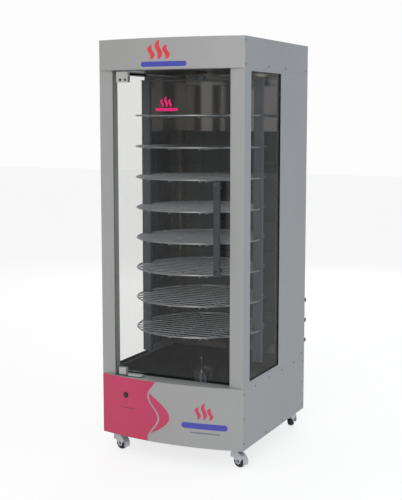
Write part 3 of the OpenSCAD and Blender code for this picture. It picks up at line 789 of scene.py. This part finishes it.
def burner_tiles(node, along, out, count):
    """Rows of ceramic tiles in the grooves of a burner's face. along is the axis of the
    face's width (0 for x, 1 for y) and out the direction in which the face looks."""
    lo, hi = low(node), high(node)
    depth = 1 - along
    face = (lo if out < 0 else hi)[depth]
    row_h = (hi.z - lo.z) / ROWS
    start, end = lo[along] + 8 * MM, hi[along] - 8 * MM
    pitch = (end - start) / count
    bm = bmesh.new()
    for r in range(ROWS):
        for c in range(count):
            corners = []
            for side in (0, 1):
                point = [0, 0, 0]
                edge = (1.2 * MM, pitch - 1.2 * MM)[side]
                point[along] = start + c * pitch + edge
                inward = (GROOVE - 0.05 * MM, 0.7 * MM)[side]
                point[depth] = face - out * inward
                inset = (7.2 * MM, row_h - 7.2 * MM)[side]
                point[2] = lo.z + r * row_h + inset
                corners.append(point)
            a, b = corners
            rounded_box(bm, [min(p) for p in zip(a, b)], [max(p) for p in zip(a, b)], 0.7 * MM)
    piece(node + "_tiles", bm, TILE, node)


burner_tiles("burner_left", 1, 1, 2)
burner_tiles("burner_right", 1, -1, 2)
burner_tiles("burner_rear", 0, -1, 6)


def interior_lamp():
    """Frosted dome in a rolled steel ring, under the cavity's ceiling."""
    lo, hi = low("interior_lamp"), high("interior_lamp")
    r = (hi.x - lo.x) / 2
    place = aimed(((lo.x + hi.x) / 2, (lo.y + hi.y) / 2, hi.z), (0, 0, -1))
    bm = bmesh.new()
    lathe(bm, [(0, 4 * MM), (28 * MM, 4 * MM)] +
          [(28 * MM * math.cos(t), 6 * MM + 12 * MM * math.sin(t))
           for t in [math.pi / 2 * k / 8 for k in range(8)]] + [(0, 18 * MM)], place, 48)
    piece("lamp_dome", bm, LAMP_GLASS, "interior_lamp", ["interior_lamp"])
    bm = bmesh.new()
    lathe(bm, [(28.2 * MM, 0), (r, 0), (r, 2 * MM), (r - 0.8 * MM, 4.4 * MM),
               (r - 2.4 * MM, 5.8 * MM), (r - 4.2 * MM, 5.9 * MM), (28.2 * MM, 4.6 * MM)],
          place, 48, closed=True)
    piece("lamp_ring", bm, BRIGHT, "interior_lamp")


interior_lamp()


# ---------------------------------------------------------------- services at the back

def gas_inlet():
    """Hex nut on the inlet and three barbs on its nipple."""
    hi = high("gas_pipework")
    x, z = middle_of_inlet()
    bm = bmesh.new()
    lathe(bm, [(8.05 * MM, 0.3 * MM), (11 * MM, 0.3 * MM), (12.4 * MM, 1.2 * MM),
               (12.4 * MM, 7 * MM), (11 * MM, 7.9 * MM), (8.05 * MM, 7.9 * MM)],
          aimed((x, BACK_Y, z), (0, 1, 0)), 6, closed=True)
    start = hi.y - 24 * MM - BACK_Y
    for k in range(3):
        h = start + (4 + 6 * k) * MM
        lathe(bm, [(4.95 * MM, h), (5.7 * MM, h + 0.4 * MM), (5.65 * MM, h + 0.9 * MM),
                   (4.95 * MM, h + 5 * MM)], aimed((x, BACK_Y, z), (0, 1, 0)), 36, closed=True)
    piece("inlet_nut_and_barbs", bm, BRASS, "gas_pipework", crease=25)


def middle_of_inlet():
    """x and z of the nipple: the middle of the part of the pipework behind the back panel."""
    points = [v.co for v in frame["nodes"]["gas_pipework"].data.vertices if v.co.y > BACK_Y + 20 * MM]
    return [(min(p[i] for p in points) + max(p[i] for p in points)) / 2 for i in (0, 2)]


def inlet_pins():
    """Three flat pins in the mains inlet, the middle one longer."""
    lo, hi = low("power_inlet"), high("power_inlet")
    x, z = (lo.x + hi.x) / 2, (lo.z + hi.z) / 2
    bm = bmesh.new()
    for k in (-1, 0, 1):
        end = BACK_Y - (2.5 if k else 1) * MM
        rounded_box(bm, (x + 7 * k * MM - 1 * MM, BACK_Y - 16.5 * MM, z - 2 * MM + 2 * k * k * MM),
                    (x + 7 * k * MM + 1 * MM, end, z + 2 * MM + 2 * k * k * MM), 0.4 * MM)
    piece("inlet_pins", bm, SCREW, "power_inlet")


gas_inlet()
inlet_pins()


# ---------------------------------------------------------------- printed films

def steps(a, b, count):
    return [a + (b - a) * k / count for k in range(count + 1)]


WAVE_MIDDLE = -0.064        # x about which the edge of the rose field swings
WAVE_SWING = 0.024
WAVE_LENGTH = 0.176
WAVE_TOP = 0.181            # height at which the edge reaches furthest right
LEAF_GAP = 8 * MM           # between the field and the leaf beside it
LEAF_BULGE = 0.090


def wave_edge(z):
    return WAVE_MIDDLE + WAVE_SWING * math.cos(2 * math.pi * (z - WAVE_TOP) / WAVE_LENGTH)


def rose_field():
    """Rose field on the left of the base, with a waved edge and a leaf-shaped band beside it."""
    left = -HALF_W + 0.6 * MM
    rows = [(z, left, wave_edge(z)) for z in steps(BASE_Z + 1 * MM, BASE_TOP - 1 * MM, 72)]
    x = middle("push_button").x
    z = middle("push_button").z
    bm = bmesh.new()
    film(bm, rows, bow_point, 48)
    piece("base_film_field", bm, FILM_ROSE, "base_front", crease=60)
    z0, z1 = BASE_Z + 0.033, BASE_TOP - 0.050
    ends = [wave_edge(h) + LEAF_GAP for h in (z0, z1)]
    rows = []
    for h in steps(z0, z1, 56):
        share = (h - z0) / (z1 - z0)
        bulge = LEAF_BULGE * math.sin(math.pi * share ** 0.9) ** 1.1
        inner = wave_edge(h) + LEAF_GAP
        outer = ends[0] + (ends[1] - ends[0]) * share + bulge
        rows.append((h, inner, max(outer, inner + 0.4 * MM)))
    bm = bmesh.new()
    film(bm, rows, bow_point, 16)
    piece("base_film_leaf", bm, FILM_ROSE, "base_front", crease=60)
    bm = bmesh.new()
    pill(bm, x + 0.010, z - 0.053, 0.078, 0.005, bow_point, SECOND_LIFT)
    ring(bm, x + 0.002, z - 0.030, 0.0075, 0.0015, bow_point, SECOND_LIFT)
    piece("base_film_button_mark", bm, FILM_ROSE_DIM, "base_front", crease=60)


def pill(bm, x, z, length, height, surface, proud=LIFT):
    """Plain bar with round ends."""
    r = height / 2
    rows = []
    for k in range(17):
        t = math.pi * (k / 16 - 0.5)
        reach = length / 2 - r + r * math.cos(t)
        rows.append((z + r * math.sin(t), x - reach, x + reach))
    film(bm, rows, surface, max(8, round(length / (6 * MM))), proud)


def ring(bm, x, z, radius, width, surface, proud):
    """Flat ring."""
    sides = []
    count = 40
    for lift in (proud - FILM_T, proud):
        loops = []
        for r in (radius - width, radius):
            loop = []
            for k in range(count):
                a = 2 * math.pi * k / count
                px = x + r * math.cos(a)
                loop.append(bm.verts.new((px, surface(px, lift), z + r * math.sin(a))))
            loops.append(loop)
        sides.append(loops)
    (back_in, back_out), (front_in, front_out) = sides
    for a, b in ((back_in, back_out), (front_in, front_out), (back_in, front_in),
                 (back_out, front_out)):
        for k in range(count):
            n = (k + 1) % count
            bm.faces.new((a[k], a[n], b[n], b[k]))


def heat_waves(bm, x, z, width, height, surface):
    """Three upright wavy strokes side by side, the middle one taller: the sign for heat."""
    for k in (-1, 0, 1):
        tall = height * (1.0 if k == 0 else 0.74)
        rows = []
        for h in steps(0, tall, 28):
            share = h / tall
            bend = width * 0.07 * math.sin(2 * math.pi * share)
            half = width * 0.115 * math.sqrt(max(0.0, math.sin(math.pi * (0.04 + 0.92 * share))))
            centre = x + k * width * 0.34 + bend
            rows.append((z + h, centre - half, centre + half))
        film(bm, rows, surface, 4)


def mark(name, rides_with, surface, waves, bar, waves_mat, bar_mat):
    """The generic mark: heat waves over a bar. waves is x, z, width, height and bar
    x, z, length, height."""
    bm = bmesh.new()
    heat_waves(bm, *waves, surface)
    piece(name + "_waves", bm, waves_mat, rides_with, crease=60)
    bm = bmesh.new()
    pill(bm, *bar, surface)
    piece(name + "_bar", bm, bar_mat, rides_with, crease=60)


rose_field()
mark("header_mark", "header_front", bow_point, (-0.027, HEADER_Z + 0.038, 0.098, 0.072),
     (-0.007, HEADER_Z + 0.019, 0.200, 0.020), FILM_RED, FILM_BLUE)
mark("base_mark", "base_front", bow_point, (0.164, BASE_TOP - 0.134, 0.074, 0.066),
     (0.164, BASE_TOP - 0.162, 0.192, 0.024), FILM_ROSE, FILM_BLUE)
mark("door_mark", "door_glass", flat_point, (-0.015, high("door_glass").z - 0.124, 0.052, 0.040),
     (-0.013, high("door_glass").z - 0.134, 0.100, 0.012), FILM_MAGENTA, FILM_MAGENTA)
bar_below = bmesh.new()
pill(bar_below, 0.168, BASE_TOP - 0.190, 0.124, 0.006, bow_point)
piece("base_mark_line", bar_below, FILM_GREY, "base_front", crease=60)


# ---------------------------------------------------------------- floor

FLOOR_GLOW = 0.765
FLOOR_DIM = 0.5            # how much less of that glow a glass or a metal mirrors


def plain_floor():
    """Pale floor that glows a little, so that shadows on it stay as soft as in a studio."""
    f = Finish("floor", (0.30, 0.30, 0.30, 1), 0.8, specular=0.1)
    f.colour(f.blend(f.noise(1.5), (0.295, 0.295, 0.295, 1), (0.305, 0.305, 0.305, 1)))
    f.shader.inputs["Emission Color"].default_value = (1.0, 1.0, 1.0, 1)
    path = f.tree.nodes.new("ShaderNodeLightPath")
    f.join(f.maths("MULTIPLY_ADD", path.outputs["Is Glossy Ray"], -FLOOR_DIM, FLOOR_GLOW),
           f.shader.inputs["Emission Strength"])
    bm = bmesh.new()
    bmesh.ops.create_grid(bm, x_segments=1, y_segments=1, size=20)
    mesh = bpy.data.meshes.new("floor")
    bm.to_mesh(mesh)
    bm.free()
    mesh.materials.append(f.mat)
    floor = bpy.data.objects.new("floor", mesh)
    scene.collection.objects.link(floor)


plain_floor()
